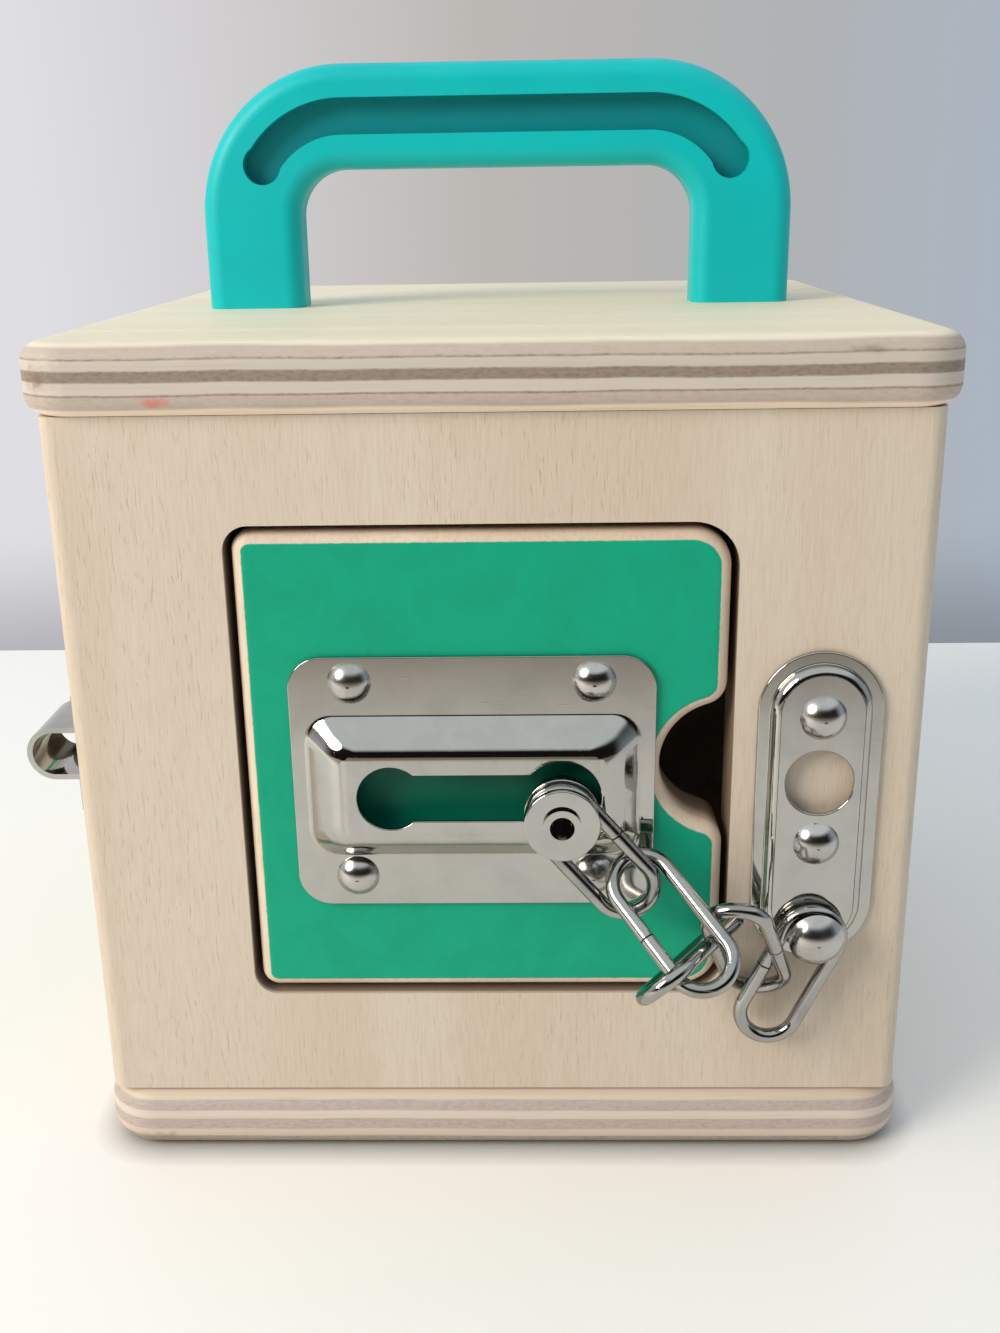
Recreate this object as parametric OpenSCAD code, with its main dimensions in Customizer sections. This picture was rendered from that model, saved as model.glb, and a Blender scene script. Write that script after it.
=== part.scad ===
// Latch lock box: a small plywood box with a carrying handle.
// The front door is held by a chain and a slotted plate, the left door by a barrel bolt.
// Millimetres. The origin is the middle of the underside, the front faces -Y, +Z is up.

/* [Box] */
// Width of the box body, left to right
body_w = 150; // [146:1:170]
// Depth of the box body, front to back
body_d = 154; // [150:1:174]
// Height of the four wall panels
body_h = 128.5; // [126:0.5:140]
// Thickness of the wall panels and doors
wall = 12; // [11:0.5:14]
// Thickness of the base plate
base_t = 13; // [12:0.5:15]
// Thickness of the top plate
top_t = 12; // [11.5:0.5:15]
// How far the top plate stands out past the walls
top_over = 2.8; // [1:0.1:4]
// How far the base plate stands out past the walls
base_over = 1.9; // [1:0.1:4]
// Corner radius of the top plate seen from above
top_plan_r = 9; // [8:0.5:14]
// Rounding of the top plate's long edges
top_edge_r = 3.5; // [2:0.25:4]
// Corner radius of the base plate seen from above
base_plan_r = 10; // [8:0.5:14]
// Rounding of the base plate's long edges
base_edge_r = 5; // [3:0.25:6]
// Rounding of the upright corners of the box
panel_edge_r = 3; // [1.5:0.25:4]

/* [Doors] */
// Width of a door opening
open_w = 87.4; // [86:0.2:89]
// Height of a door opening
open_h = 89.4; // [87:0.2:91]
// Sideways place of an opening's middle, towards the hinge when negative
open_u = -1.9; // [-2.5:0.1:-1.5]
// Height of an opening's middle above the table
open_z = 78.3; // [77.5:0.1:79]
// Corner radius of an opening on its hinge side
open_r_hinge = 4.5; // [4.2:0.1:6]
// Corner radius of an opening on its free side
open_r_free = 8; // [6:0.5:10]
// Gap between a door and its opening
door_gap = 1.2; // [1:0.05:1.4]
// Rounding of a door's front edge
rim_r = 2.6; // [1.5:0.1:2.7]
// Radius of the finger notch
notch_r = 11.52; // [10.08:0.36:11.52]
// Height of the notch's middle above the table
notch_z = 79; // [77:0.5:81]
// Diameter of a hinge pin
pin_d = 2.4; // [2:0.1:3]
// Distance of a hinge pin from the door's hinge edge
pin_in = 6; // [5.8:0.1:6.4]
// Depth of a hinge pin behind the outer face
pin_back = 5; // [4.6:0.1:5.2]
// How far a hinge pin reaches into the door
pin_grip = 9; // [6:0.5:12]
// Radial running clearance of a hinge pin
pin_clear = 0.05; // [0.03:0.01:0.1]

/* [Handle] */
// Overall width of the handle
handle_w = 120.5; // [112:0.5:130]
// Height of the handle above the top plate
handle_h = 47.2; // [42:0.2:56]
// Width of the handle's bar seen from the front
handle_bar = 20; // [17:0.5:22]
// Thickness of the handle, front to back
handle_t = 13; // [11:0.5:16]
// Rounding of the handle's edges
handle_edge_r = 3.5; // [2:0.25:4]
// Inner corner radius of the handle
handle_in_r = 9.3; // [7:0.1:12]
// Width of the groove in the handle's front face
groove_w = 7; // [5:0.5:8]
// Depth of that groove
groove_deep = 4; // [2:0.5:5]
// Angle by which the groove turns down into each leg
groove_turn = 58; // [40:1:70]
// Shank diameter of the screws under the handle
handle_screw_d = 4; // [3.5:0.1:4.4]

/* [Slotted plate] */
// Width of the slotted plate
plate_w = 64; // [63:0.5:65]
// Height of the slotted plate
plate_h = 47.2; // [46.4:0.2:49]
// Thickness of the pressed sheet
sheet = 1; // [0.8:0.05:1.1]
// Corner radius of the slotted plate
plate_r = 6; // [4:0.5:8]
// Sideways place of the plate's middle
plate_x = -3.9; // [-4.4:0.1:-3.4]
// Height of the plate's middle
plate_z = 76.4; // [76:0.1:77]
// How far the raised middle stands out
boss_out = 6; // [5.6:0.1:6.2]
// Width of the raised middle at its foot
boss_w = 59; // [57:0.5:60]
// Height of the raised middle at its foot
boss_h = 26; // [24.5:0.5:27]
// Width of the slot's narrow run
slot_w = 8.6; // [7:0.2:9]
// Diameter of the slot's left end
slot_left_d = 11.7; // [11:0.1:12.5]
// Diameter of the slot's right end
slot_right_d = 13.7; // [13.2:0.1:14]
// Distance between the middles of the slot's ends
slot_run = 29.8; // [28.6:0.2:31]
// Head diameter of the plate's rivets
plate_rivet_d = 7.7; // [6:0.1:8]

/* [Chain] */
// Wire diameter of the chain
wire_d = 2.65; // [2.45:0.05:2.75]
// Outer length of a link
link_long = 29.6; // [29.4:0.1:29.8]
// Outer width of a link
link_wide = 13; // [12.9:0.1:13.1]
// Diameter of the stud's two discs
stud_d = 13; // [11:0.2:13.4]
// Diameter of the stud's groove that carries the first link
stud_groove_d = 7; // [5.5:0.1:7.2]
// Diameter of the stud's neck in the slot
stud_neck_d = 4.6; // [4:0.1:5]
// Diameter of the stud's head behind the plate
stud_head_d = 10.6; // [9:0.1:11]

/* [Anchor plate] */
// Width of the anchor plate
anchor_w = 21.8; // [20.4:0.2:22.6]
// Length of the anchor plate
anchor_h = 58.4; // [57:0.2:59]
// How far the anchor plate's face stands out
anchor_out = 3; // [2.4:0.1:3.1]
// Width of the flat rim round the anchor plate
anchor_rim = 2.2; // [1.5:0.1:2.6]
// Diameter of the anchor plate's hole
anchor_hole_d = 12; // [9:0.5:12.5]
// Head diameter of the anchor plate's rivets
anchor_rivet_d = 8.1; // [7:0.1:9]
// Head diameter of the rivet that carries the chain
chain_rivet_d = 9.8; // [9.4:0.1:10.6]

/* [Barrel bolt] */
// Length of the keeper on the front corner
keeper_len = 15; // [12:0.5:16]
// Height of the keeper's tunnel outside
keeper_w = 10; // [9.6:0.1:11]
// Diameter of the bolt rod
rod_d = 6; // [5:0.1:6.2]
// Length of the bolt rod
rod_len = 58; // [55:0.5:59]
// Length of the bolt's guide plate
guide_len = 34; // [32:0.5:35]
// Height of the guide plate
guide_h = 24; // [22:0.5:28]
// Length of each strap over the rod
strap_len = 6; // [4:0.5:6.5]

/* [Hidden] */
$fn = 64;
front_y = -body_d/2;
wall_z = base_t;
top_z = base_t + body_h;
handle_z = top_z + top_t;
over_cut = 1;
hair = 0.01;
hull_skin = 0.1;
coarse_fn = 32;

// Doors
door_w = open_w - 2*door_gap;
door_h = open_h - 2*door_gap;
door_left = open_u - door_w/2;
door_right = open_u + door_w/2;
door_r_hinge = open_r_hinge - door_gap;
door_r_free = open_r_free - door_gap;
pin_u = door_left + pin_in;
open_top = open_z + open_h/2;
open_low = open_z - open_h/2;
door_top = open_z + door_h/2;
door_low = open_z - door_h/2;
shoulder_share = 7/18;
shoulder_lift = 24/18;
notch_shoulder_r = notch_r*shoulder_share;
shoulder_rise = notch_r*shoulder_lift;
shoulder_turn = atan2(shoulder_rise, notch_shoulder_r);
mouth_in = notch_r*notch_shoulder_r/(notch_r + notch_shoulder_r);

// Handle
handle_out_r = handle_in_r + handle_bar;
handle_arc_x = handle_w/2 - handle_out_r;
handle_arc_z = handle_h - handle_out_r;
leg_x = handle_w/2 - handle_bar/2;
groove_r = handle_in_r + handle_bar/2;
groove_end_more = 0.6;
handle_screw_up = 24;
screw_head_d = 8;
screw_head_t = 2.6;
screw_hole_clear = 0.5;
screw_hole_d = handle_screw_d + screw_hole_clear;

// Slotted plate and stud
boss_slope_x = 6.5;
boss_slope_z = 4.8;
boss_top_w = boss_w - 2*boss_slope_x;
boss_top_h = boss_h - 2*boss_slope_z;
boss_drop = 0.4;
boss_foot_r = 5;
boss_top_r = 3;
slot_drop = 0.7;
slot_z = plate_z - slot_drop;
slot_right_x = 11.6;
slot_left_x = slot_right_x - slot_run;
plate_rivet_x = 21.2;
plate_rivet_z = 18.4;
plate_rivet_lift = 0.6;
plate_rivet_mid = plate_z + plate_rivet_lift;
rivet_shank_d = 3;
rivet_shank = 9;
dome_plate = 2.2;
stud_in = 0.1;
stud_hang = 2.1;
stud_x = slot_right_x - stud_in;
stud_z = slot_z - stud_hang;
stud_mid = 10;
stud_gap = 3.6;
stud_disc_t = 1.4;
stud_head_t = 1.7;
stud_head_out = 2.9;
stud_eye_d = 6.6;
stud_tube_d = 5;
stud_bore_d = 4.2;
stud_eye_t = 0.9;
stud_bore_deep = 5;

// Chain
link_bend_r = (link_wide - wire_d)/2;
link_leg = link_long - link_wide;
link_1_lean = 49.4;
link_2_at = [30.1, -15.6, 57];
link_2_turn = [35.5, 33, -48];
link_3_at = [33.8, -14.3, 49.3];
link_3_turn = [134.5, -1.5, 55.5];
link_4_at = [44.2, -8.4, 47.4];
link_4_turn = [159.5, 56, 57.5];
link_5_lean = 114.8;
link_5_hang = 1;
link_5_lift = 0.375;

// Anchor plate
anchor_x = 56.6;
anchor_z = 71.2;
anchor_top_z = 89.1;
anchor_hole_z = 77;
anchor_mid_z = 65.4;
chain_rivet_x = 56.8;
chain_rivet_z = 48.6;
chain_neck_d = 5.4;
chain_neck_out = 7.2;
dome_anchor = 2.3;
dome_chain = 2.6;
anchor_face_r = 1.4;

// Barrel bolt
bolt_z = 80.2;
bolt_out = 5;
keeper_back = 5;
keeper_front = body_d/2 - keeper_back;
keeper_flange = 6;
keeper_rivet_in = 3.5;
keeper_rivet_u = keeper_front - keeper_len + keeper_rivet_in;
strap_gap = 0.35;
guide_right = 28;
guide_left = guide_right - guide_len;
rod_tip = 54;
knob_in = 3;
knob_u = guide_left + strap_len + knob_in;
knob_stem_d = 4;
knob_ball_d = 9;
knob_out = 15.5;
small_rivet_d = 4.4;
small_shank_d = 2.2;
small_shank = 7;
dome_small = 1.3;
guide_rivet_in = 9.5;
guide_r = 3;

// Joinery
dowel_d = 6;
dowel_up = 8;
dowel_down = 12;
dowel_in = 13;
dowel_x = body_w/2 - dowel_in;
dowel_y = body_d/2 - wall/2;

// Places its children on the front face: x across, y up, z outward
module on_front() {
    translate([0, front_y, 0]) rotate([90, 0, 0]) children();
}

// Places its children on the left face: x towards the front, y up, z outward
module on_left() {
    translate([-body_w/2, 0, 0]) rotate([90, 0, -90]) children();
}

// Flat outline with four equal round corners, centred
module rounded_rect(w, h, r) {
    square([w - 2*r, h], center = true);
    square([w, h - 2*r], center = true);
    for (sx = [-1, 1], sy = [-1, 1])
        translate([sx*(w/2 - r), sy*(h/2 - r)]) circle(r = r);
}

// Flat outline with one radius at its left corners and one at its right corners
module door_outline(w, h, r_left, r_right) {
    translate([-w/2 + r_left, -h/2]) square([w - r_left - r_right, h]);
    translate([-w/2, -h/2 + r_left]) square([w/2, h - 2*r_left]);
    translate([0, -h/2 + r_right]) square([w/2, h - 2*r_right]);
    for (sy = [-1, 1]) {
        translate([-w/2 + r_left, sy*(h/2 - r_left)]) circle(r = r_left);
        translate([w/2 - r_right, sy*(h/2 - r_right)]) circle(r = r_right);
    }
}

// Half of a plate's edge section, for turning a corner
module corner_profile(r, t, edge_r) {
    square([r - edge_r, t]);
    translate([0, edge_r]) square([r, t - 2*edge_r]);
    for (h = [edge_r, t - edge_r])
        translate([r - edge_r, h]) circle(r = edge_r);
}

// Board with rounded corners and rounded edges, standing on z = 0
module rounded_board(w, d, t, plan_r, edge_r) {
    translate([0, 0, t/2]) rotate([90, 0, 90])
        linear_extrude(w - 2*plan_r, center = true) rounded_rect(d, t, edge_r);
    translate([0, 0, t/2]) rotate([90, 0, 0])
        linear_extrude(d - 2*plan_r, center = true) rounded_rect(w, t, edge_r);
    for (sx = [-1, 1], sy = [-1, 1])
        translate([sx*(w/2 - plan_r), sy*(d/2 - plan_r), 0])
            rotate_extrude() corner_profile(plan_r, t, edge_r);
}

// Section that rounds an edge: material lies towards -x and -y
module rim_profile() {
    difference() {
        translate([-rim_r, -rim_r]) square(rim_r + over_cut);
        translate([-rim_r, -rim_r]) circle(r = rim_r);
    }
}

// Rounds a straight edge that runs along x and faces +y
module rim_line(length) {
    rotate([90, 0, 90]) linear_extrude(length, center = true) rim_profile();
}

// Rounds an outer bend
module rim_bend(r, from, turn) {
    rotate([0, 0, from]) rotate_extrude(angle = turn) translate([r, 0]) rim_profile();
}

// Rounds an inner bend
module rim_hollow(r, from, turn) {
    rotate([0, 0, from]) rotate_extrude(angle = turn) translate([r, 0]) mirror([1, 0]) rim_profile();
}

// Outline of the finger notch, with the door's free edge at x = 0
module notch_outline() {
    circle(r = notch_r);
    difference() {
        translate([-mouth_in, -shoulder_rise]) square([mouth_in + over_cut, 2*shoulder_rise]);
        for (sy = [-1, 1])
            translate([-notch_shoulder_r, sy*shoulder_rise]) circle(r = notch_shoulder_r);
    }
}

// All the rounding round a door's outer face
module door_rim() {
    free_up = notch_z + shoulder_rise;
    free_low = notch_z - shoulder_rise;
    flat_left = door_left + door_r_hinge;
    flat_right = door_right - door_r_free;
    translate([(flat_left + flat_right)/2, door_top, 0]) rim_line(flat_right - flat_left);
    translate([(flat_left + flat_right)/2, door_low, 0]) rotate([0, 0, 180]) rim_line(flat_right - flat_left);
    translate([door_left, open_z, 0]) rotate([0, 0, 90]) rim_line(door_h - 2*door_r_hinge);
    translate([door_right, (free_up + door_top - door_r_free)/2, 0])
        rotate([0, 0, -90]) rim_line(door_top - door_r_free - free_up);
    translate([door_right, (free_low + door_low + door_r_free)/2, 0])
        rotate([0, 0, -90]) rim_line(free_low - door_low - door_r_free);
    translate([flat_left, door_top - door_r_hinge, 0]) rim_bend(door_r_hinge, 90, 90);
    translate([flat_left, door_low + door_r_hinge, 0]) rim_bend(door_r_hinge, 180, 90);
    translate([flat_right, door_top - door_r_free, 0]) rim_bend(door_r_free, 0, 90);
    translate([flat_right, door_low + door_r_free, 0]) rim_bend(door_r_free, 270, 90);
    for (side = [0, 1])
        translate([door_right, notch_z, 0]) mirror([0, side, 0]) {
            translate([-notch_shoulder_r, -shoulder_rise, 0]) rim_bend(notch_shoulder_r, 0, shoulder_turn);
            rim_hollow(notch_r, 180, shoulder_turn);
        }
}

// Door blank on its face: outer face at z = 0, hinge edge at the left
module door_blank() {
    difference() {
        translate([open_u, open_z, -wall])
            linear_extrude(wall) door_outline(door_w, door_h, door_r_hinge, door_r_free);
        translate([door_right, notch_z, -wall - over_cut])
            linear_extrude(wall + 2*over_cut) notch_outline();
        door_rim();
        for (v = [door_low - over_cut, door_top - pin_grip])
            translate([pin_u, v, -pin_back]) rotate([-90, 0, 0])
                cylinder(d = pin_d + 2*pin_clear, h = pin_grip + over_cut);
    }
}

// Opening for a door, cut right through a panel
module door_hole() {
    translate([open_u, open_z, -wall - over_cut])
        linear_extrude(wall + 2*over_cut) door_outline(open_w, open_h, open_r_hinge, open_r_free);
}

// The two hinge pins of a door, or their holes in the panel
module hinge_pins() {
    translate([pin_u, door_top - pin_grip + pin_clear, -pin_back]) rotate([-90, 0, 0])
        cylinder(d = pin_d, h = top_z - door_top + pin_grip - pin_clear);
    translate([pin_u, wall_z, -pin_back]) rotate([-90, 0, 0])
        cylinder(d = pin_d, h = door_low - wall_z + pin_grip - pin_clear);
}

// Low dome of a rivet head standing on z = 0
module dome(d, rise) {
    ball_r = (d*d/4 + rise*rise)/(2*rise);
    intersection() {
        translate([0, 0, rise - ball_r]) sphere(r = ball_r);
        cylinder(d = d + over_cut, h = rise + over_cut);
    }
}

// Domed rivet: the head stands on z = at, the shank reaches down to z = -deep
module rivet(head_d, rise, shank_d, at, deep) {
    translate([0, 0, at]) dome(head_d, rise);
    translate([0, 0, -deep]) cylinder(d = shank_d, h = deep + at);
}

// One oval chain link lying in the x-y plane, its long way along x
module link() {
    for (side = [-1, 1])
        translate([0, side*link_bend_r, 0]) rotate([0, 90, 0])
            cylinder(d = wire_d, h = link_leg, center = true);
    for (end = [0, 180])
        rotate([0, 0, end]) translate([link_leg/2, 0, 0]) rotate([0, 0, -90])
            rotate_extrude(angle = 180) translate([link_bend_r, 0]) circle(d = wire_d);
}

// Tunnel section of a bent strap: upright legs and a round back
module strap_section(outside, out) {
    translate([-outside/2, 0]) square([outside, out]);
    translate([0, out]) circle(d = outside);
}

// Strap bent over the bolt: runs along x, open below
module strap(length, outside, t, out) {
    rotate([90, 0, 90]) linear_extrude(length)
        difference() {
            strap_section(outside, out);
            strap_section(outside - 2*t, out);
            translate([-outside, -outside]) square([2*outside, outside]);
        }
}

// Places of the slotted plate's four rivets
module plate_rivet_places() {
    for (sx = [-1, 1], sy = [-1, 1])
        translate([plate_x + sx*plate_rivet_x, plate_rivet_mid + sy*plate_rivet_z, 0]) children();
}

// Places of the guide plate's four rivets
module guide_rivet_places() {
    for (u = [guide_left + strap_len/2, guide_right - strap_len/2], sy = [-1, 1])
        translate([u, bolt_z + sy*guide_rivet_in, 0]) children();
}

// Places of the keeper's two rivets
module keeper_rivet_places() {
    for (sy = [-1, 1])
        translate([keeper_rivet_u, bolt_z + sy*(keeper_w/2 + keeper_flange/2), 0]) children();
}

// Places of the four dowels in a plate
module dowel_places() {
    for (sx = [-1, 1], sy = [-1, 1])
        translate([sx*dowel_x, sy*dowel_y, 0]) children();
}

// Dowels or their holes at the top of the walls
module top_dowel_set() {
    dowel_places() translate([0, 0, top_z - dowel_down]) cylinder(d = dowel_d, h = dowel_down + dowel_up);
}

// Dowels or their holes at the foot of the walls
module base_dowel_set() {
    dowel_places() translate([0, 0, wall_z - dowel_up]) cylinder(d = dowel_d, h = dowel_down + dowel_up);
}

// Outer panel across the front or back, its face towards -y at y = 0, both upright edges rounded
module wide_panel() {
    linear_extrude(body_h) {
        translate([-body_w/2 + panel_edge_r, 0]) square([body_w - 2*panel_edge_r, wall]);
        translate([-body_w/2, panel_edge_r]) square([body_w, wall - panel_edge_r]);
        for (sx = [-1, 1])
            translate([sx*(body_w/2 - panel_edge_r), panel_edge_r]) circle(r = panel_edge_r);
    }
}

// Inner panel at a side, between the front and back panels
module side_panel() {
    translate([0, front_y + wall, wall_z]) cube([wall, body_d - 2*wall, body_h]);
}

module base_plate() {
    color("burlywood")
    difference() {
        rounded_board(body_w + 2*base_over, body_d + 2*base_over, base_t, base_plan_r, base_edge_r);
        base_dowel_set();
    }
}

module top_plate() {
    color("wheat")
    difference() {
        translate([0, 0, top_z])
            rounded_board(body_w + 2*top_over, body_d + 2*top_over, top_t, top_plan_r, top_edge_r);
        top_dowel_set();
        for (sx = [-1, 1])
            translate([sx*leg_x, 0, top_z - over_cut]) cylinder(d = screw_hole_d, h = top_t + 2*over_cut);
    }
}

module front_panel() {
    color("tan")
    difference() {
        translate([0, front_y, wall_z]) wide_panel();
        on_front() door_hole();
        on_front() hinge_pins();
        top_dowel_set();
        base_dowel_set();
        on_front() translate([chain_rivet_x, chain_rivet_z, -rivet_shank])
            cylinder(d = rivet_shank_d, h = rivet_shank + over_cut);
        on_front() for (v = [anchor_top_z, anchor_mid_z])
            translate([anchor_x, v, -rivet_shank]) cylinder(d = rivet_shank_d, h = rivet_shank + over_cut);
    }
}

module back_panel() {
    color("tan")
    difference() {
        translate([0, -front_y, wall_z]) rotate([0, 0, 180]) wide_panel();
        top_dowel_set();
        base_dowel_set();
    }
}

module left_panel() {
    color("tan")
    difference() {
        translate([-body_w/2, 0, 0]) side_panel();
        on_left() door_hole();
        on_left() hinge_pins();
        on_left() keeper_rivet_places()
            translate([0, 0, -small_shank]) cylinder(d = small_shank_d, h = small_shank + over_cut);
    }
}

module right_panel() {
    color("tan")
    translate([body_w/2 - wall, 0, 0]) side_panel();
}

module front_door() {
    color("mediumseagreen")
    on_front()
    difference() {
        door_blank();
        plate_rivet_places()
            translate([0, 0, -rivet_shank]) cylinder(d = rivet_shank_d, h = rivet_shank + over_cut);
    }
}

module side_door() {
    color("mediumseagreen")
    on_left()
    difference() {
        door_blank();
        guide_rivet_places()
            translate([0, 0, -small_shank]) cylinder(d = small_shank_d, h = small_shank + over_cut);
    }
}

module front_door_pins() {
    color("silver")
    on_front() hinge_pins();
}

module side_door_pins() {
    color("silver")
    on_left() hinge_pins();
}

// Section of the handle's bar at radius r from the bend's middle
module handle_section() {
    translate([handle_in_r + handle_bar/2, 0]) rounded_rect(handle_bar, handle_t, handle_edge_r);
}

// Outline of the groove in the handle's front face: a straight run with two bends and round ends
module groove_outline() {
    reach = 2*handle_out_r;
    translate([-handle_arc_x, handle_arc_z + groove_r - groove_w/2]) square([2*handle_arc_x, groove_w]);
    for (side = [0, 1])
        mirror([side, 0]) translate([-handle_arc_x, handle_arc_z]) {
            difference() {
                circle(r = groove_r + groove_w/2);
                circle(r = groove_r - groove_w/2);
                translate([0, -reach]) square([reach, 2*reach]);
                rotate(90 + groove_turn) translate([-reach, 0]) square([2*reach, reach]);
            }
            rotate(90 + groove_turn) translate([groove_r, 0]) circle(d = groove_w + groove_end_more);
        }
}

module handle_groove() {
    translate([0, 0, handle_t/2 - groove_deep]) linear_extrude(groove_deep + over_cut) groove_outline();
}

module handle() {
    color("turquoise")
    difference() {
        translate([0, 0, handle_z]) rotate([90, 0, 0])
        difference() {
            union() {
                translate([0, handle_arc_z + groove_r, 0]) rotate([0, 90, 0])
                    linear_extrude(2*handle_arc_x, center = true)
                        rounded_rect(handle_t, handle_bar, handle_edge_r);
                for (sx = [-1, 1]) {
                    translate([sx*leg_x, 0, 0]) rotate([-90, 0, 0])
                        linear_extrude(handle_arc_z) rounded_rect(handle_bar, handle_t, handle_edge_r);
                    translate([sx*handle_arc_x, handle_arc_z, 0]) rotate([0, 0, sx > 0 ? 0 : 90])
                        rotate_extrude(angle = 90) handle_section();
                }
            }
            handle_groove();
        }
        for (sx = [-1, 1])
            translate([sx*leg_x, 0, handle_z - over_cut])
                cylinder(d = handle_screw_d, h = handle_screw_up - top_t + over_cut);
    }
}

module handle_screws() {
    color("silver")
    for (sx = [-1, 1])
        translate([sx*leg_x, 0, top_z]) {
            cylinder(d = handle_screw_d, h = handle_screw_up);
            translate([0, 0, -screw_head_t]) cylinder(d = screw_head_d, h = screw_head_t);
        }
}

// Raised middle of the slotted plate, set in by t
module boss_form(t) {
    hull() {
        linear_extrude(hull_skin) rounded_rect(boss_w - 2*t, boss_h - 2*t, boss_foot_r, $fn = coarse_fn);
        translate([0, 0, boss_out - t - hull_skin])
            linear_extrude(hull_skin) rounded_rect(boss_top_w - t, boss_top_h - t, boss_top_r, $fn = coarse_fn);
    }
}

module slot_plate() {
    color("gainsboro")
    on_front()
    difference() {
        union() {
            translate([plate_x, plate_z, 0]) linear_extrude(sheet) rounded_rect(plate_w, plate_h, plate_r);
            translate([plate_x, plate_z - boss_drop, 0]) boss_form(0);
        }
        translate([plate_x, plate_z - boss_drop, -hair]) boss_form(sheet);
        translate([0, slot_z, 0]) {
            translate([slot_left_x, 0, 0]) cylinder(d = slot_left_d, h = boss_out + over_cut);
            translate([slot_right_x, 0, 0]) cylinder(d = slot_right_d, h = boss_out + over_cut);
            translate([slot_left_x, -slot_w/2, 0]) cube([slot_run, slot_w, boss_out + over_cut]);
        }
        plate_rivet_places()
            translate([0, 0, -over_cut]) cylinder(d = rivet_shank_d, h = sheet + 2*over_cut);
    }
}

module slot_plate_rivets() {
    color("gainsboro")
    on_front() plate_rivet_places() rivet(plate_rivet_d, dome_plate, rivet_shank_d, sheet, rivet_shank);
}

module chain_stud() {
    color("gainsboro")
    on_front() translate([stud_x, stud_z, 0])
    difference() {
        union() {
            translate([0, 0, stud_head_out]) cylinder(d = stud_head_d, h = stud_head_t);
            translate([0, 0, stud_head_out]) cylinder(d = stud_neck_d, h = stud_mid - stud_head_out);
            translate([0, 0, stud_mid - stud_gap/2 - stud_disc_t]) cylinder(d = stud_d, h = stud_disc_t);
            translate([0, 0, stud_mid - stud_gap/2 - stud_disc_t])
                cylinder(d = stud_groove_d, h = stud_gap + 2*stud_disc_t);
            translate([0, 0, stud_mid + stud_gap/2]) cylinder(d = stud_d, h = stud_disc_t);
        }
        translate([0, 0, stud_mid + stud_gap/2 + stud_disc_t - stud_bore_deep])
            cylinder(d = stud_tube_d, h = stud_bore_deep + over_cut);
    }
}

module stud_eyelet() {
    color("silver")
    on_front() translate([stud_x, stud_z, stud_mid + stud_gap/2 + stud_disc_t])
    difference() {
        union() {
            cylinder(d = stud_eye_d, h = stud_eye_t);
            translate([0, 0, -stud_bore_deep]) cylinder(d = stud_tube_d, h = stud_bore_deep);
        }
        translate([0, 0, -stud_bore_deep + sheet]) cylinder(d = stud_bore_d, h = stud_bore_deep + over_cut);
    }
}

module chain_link_1() {
    color("silver")
    on_front() translate([stud_x, stud_z, stud_mid]) rotate([0, 0, -link_1_lean])
        translate([link_leg/2, 0, 0]) link();
}

module chain_link_2() {
    color("silver")
    translate([0, front_y, 0]) translate(link_2_at) rotate(link_2_turn) link();
}

module chain_link_3() {
    color("silver")
    translate([0, front_y, 0]) translate(link_3_at) rotate(link_3_turn) link();
}

module chain_link_4() {
    color("silver")
    translate([0, front_y, 0]) translate(link_4_at) rotate(link_4_turn) link();
}

module chain_link_5() {
    color("silver")
    on_front() translate([chain_rivet_x, chain_rivet_z, anchor_out + wire_d/2 + link_5_lift])
        rotate([0, 0, -link_5_lean]) translate([link_leg/2 + link_5_hang, 0, 0]) link();
}

// Upright oval section round the anchor plate, for its turned ends
module anchor_face(w, out) {
    square([w/2 - anchor_face_r, out]);
    square([w/2, out - anchor_face_r]);
    translate([w/2 - anchor_face_r, out - anchor_face_r]) circle(r = anchor_face_r);
}

// Raised oval with round shoulders
module anchor_form(w, out) {
    run = anchor_h - anchor_w;
    for (sy = [-1, 1])
        translate([0, sy*run/2, 0]) rotate_extrude() anchor_face(w, out);
    rotate([90, 0, 0]) linear_extrude(run, center = true) {
        anchor_face(w, out);
        mirror([1, 0]) anchor_face(w, out);
    }
}

module anchor_plate() {
    color("gainsboro")
    on_front()
    difference() {
        translate([anchor_x, anchor_z, 0]) {
            linear_extrude(sheet) rounded_rect(anchor_w, anchor_h, anchor_w/2 - hair);
            anchor_form(anchor_w - 2*anchor_rim, anchor_out);
        }
        translate([anchor_x, anchor_z, -sheet])
            anchor_form(anchor_w - 2*anchor_rim - 2*sheet, anchor_out);
        translate([anchor_x, anchor_hole_z, -over_cut]) cylinder(d = anchor_hole_d, h = anchor_out + 2*over_cut);
        for (v = [anchor_top_z, anchor_mid_z])
            translate([anchor_x, v, -over_cut]) cylinder(d = rivet_shank_d, h = anchor_out + 2*over_cut);
        translate([chain_rivet_x, chain_rivet_z, -over_cut])
            cylinder(d = rivet_shank_d, h = anchor_out + 2*over_cut);
    }
}

module anchor_rivets() {
    color("gainsboro")
    on_front() for (v = [anchor_top_z, anchor_mid_z])
        translate([anchor_x, v, 0]) rivet(anchor_rivet_d, dome_anchor, rivet_shank_d, anchor_out, rivet_shank);
}

module chain_rivet() {
    color("gainsboro")
    on_front() translate([chain_rivet_x, chain_rivet_z, 0]) {
        rivet(chain_rivet_d, dome_chain, rivet_shank_d, chain_neck_out, rivet_shank);
        translate([0, 0, anchor_out]) cylinder(d = chain_neck_d, h = chain_neck_out - anchor_out);
    }
}

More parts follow.
